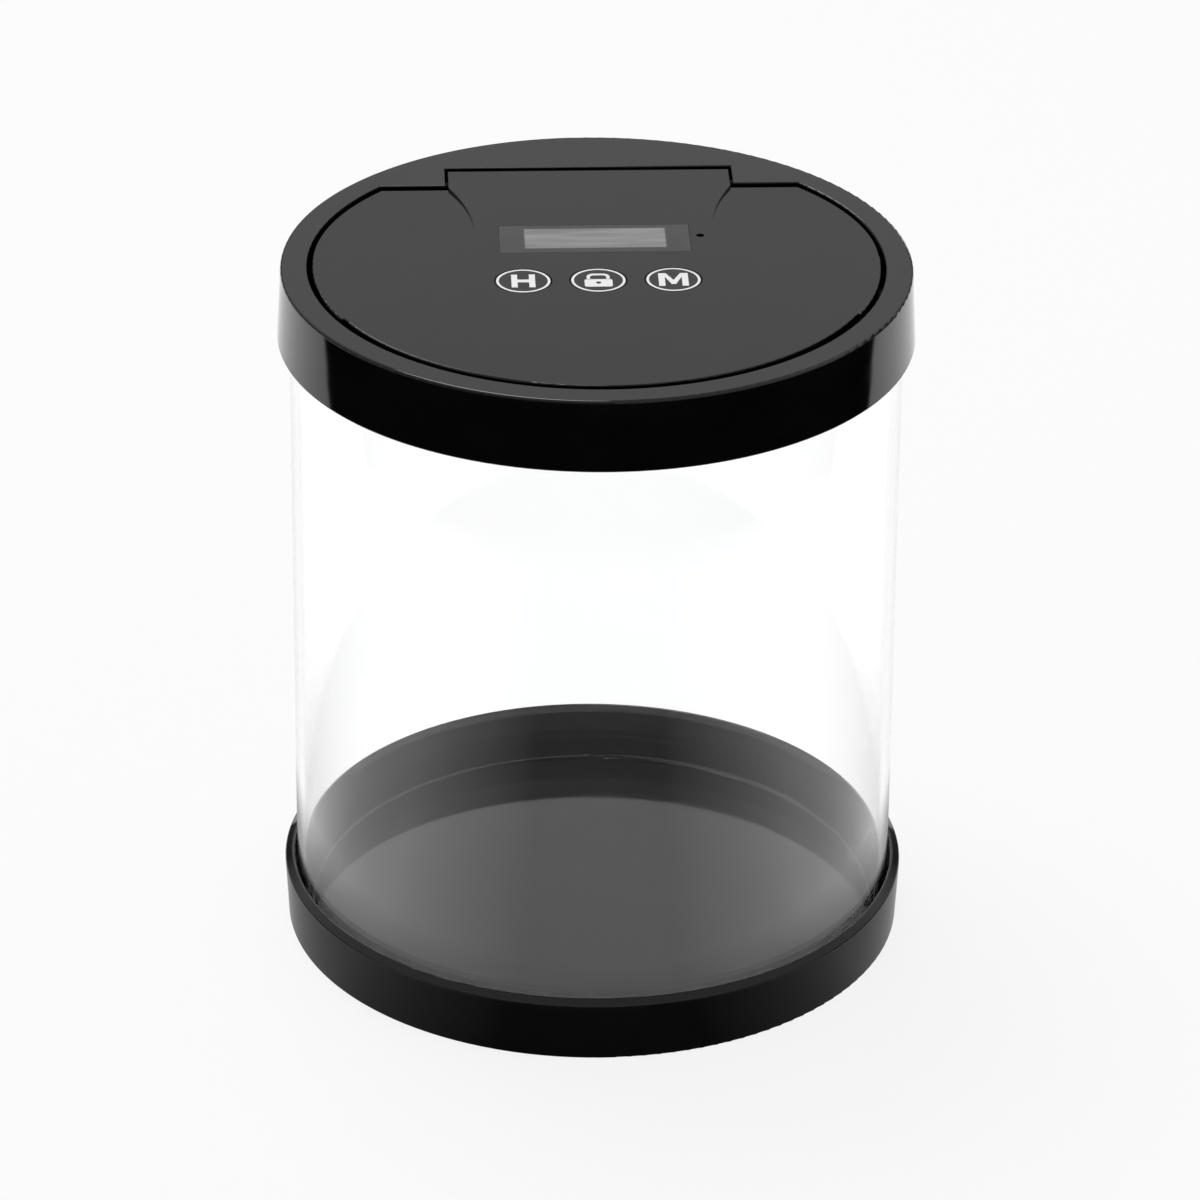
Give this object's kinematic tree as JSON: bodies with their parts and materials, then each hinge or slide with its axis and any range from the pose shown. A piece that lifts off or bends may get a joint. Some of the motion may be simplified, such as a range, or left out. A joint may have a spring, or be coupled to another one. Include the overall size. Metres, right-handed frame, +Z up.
{
  "type": "timed lock container",
  "caption": "Round clear container with black base cup and lid ring, and a flush hinged flap with display, push buttons and a motor-driven time lock.",
  "frame": {"origin": "middle of the underside, on the surface that the container stands on", "axes": "+Z up, +Y towards the flap's hinge, -Y towards the front where the bolt comes out, +X to the right seen from the front"},
  "size_m": [0.1572, 0.1572, 0.18],
  "materials": {
    "white_print": "printed ink",
    "black_gloss_plastic": "moulded, polished",
    "clear_plastic": "clear, polished",
    "window_plastic": "smoked, with a printed border",
    "display_glass": "grey liquid crystal display, switched off",
    "button_plastic": "moulded, with a white printed ring and sign",
    "inner_black_plastic": "moulded, fine texture",
    "white_acetal": "moulded, slippery",
    "steel": "drawn",
    "nickel": "nickel plated",
    "brass": "machined",
    "board_green": "solder mask",
    "chip_black": "moulded epoxy",
    "grey_rubber": "silicone",
    "cell_jacket": "printed sleeve, no lettering",
    "wire_jacket": "insulation"
  },
  "bodies": {
    "container": {"base_cup": "black_gloss_plastic", "clear_tube": "clear_plastic", "lid_ring": "black_gloss_plastic", "hinge_pin": "steel"},
    "hours_key": {"hours_button": "button_plastic", "hours_switch_plunger": "chip_black"},
    "lock_key": {"lock_button": "button_plastic", "lock_switch_plunger": "chip_black"},
    "minutes_key": {"minutes_button": "button_plastic", "minutes_switch_plunger": "chip_black"},
    "bolt": {"latch_bolt": "white_acetal"},
    "pinion": {"latch_pinion": "white_acetal", "latch_shaft": "steel"},
    "door": {"battery_door": "inner_black_plastic"},
    "flap": {"flap_cover": "black_gloss_plastic", "flap_base": "inner_black_plastic", "display_window": "window_plastic", "display_glass": "display_glass", "display_connector_strips": "grey_rubber", "circuit_board": "board_green", "controller_chip": "chip_black", "buzzer": "chip_black", "button_switches": "nickel", "latch_gearbox": "brass", "latch_motor": "nickel", "battery_cell_left": "cell_jacket", "battery_cell_right": "cell_jacket", "battery_contact_plus": "nickel", "battery_contact_minus": "nickel", "battery_leads": "wire_jacket", "motor_leads": "wire_jacket", "flap_screws": "steel", "board_screws": "steel"}
  },
  "joints": [
    {"name": "lid_hinge", "type": "hinge", "parent": "container", "child": "flap", "pos_m": [0, 0.0541, 0.1766], "axis": [-1, 0, 0], "range_deg": [0, 95]},
    {"name": "hours_press", "type": "slide", "parent": "flap", "child": "hours_key", "axis": [0, 0, -1], "range_m": [0, 0.0005], "stiffness_N_per_m": 1500},
    {"name": "lock_press", "type": "slide", "parent": "flap", "child": "lock_key", "axis": [0, 0, -1], "range_m": [0, 0.0005], "stiffness_N_per_m": 1500},
    {"name": "minutes_press", "type": "slide", "parent": "flap", "child": "minutes_key", "axis": [0, 0, -1], "range_m": [0, 0.0005], "stiffness_N_per_m": 1500},
    {"name": "bolt_slide", "type": "slide", "parent": "flap", "child": "bolt", "axis": [0, -1, 0], "range_m": [0, 0.005]},
    {"name": "pinion_spin", "type": "hinge", "parent": "flap", "child": "pinion", "pos_m": [0, -0.048, 0.17255], "axis": [-1, 0, 0], "range_deg": [-2, 82]},
    {"name": "battery_door_swing", "type": "hinge", "parent": "flap", "child": "door", "pos_m": [0, 0.02956, 0.1648], "axis": [-1, 0, 0], "range_deg": [0, 80]}
  ],
  "couplings": [
    {"joint": "pinion_spin", "follows": "bolt_slide", "rad_per_m": 277.78}
  ]
}
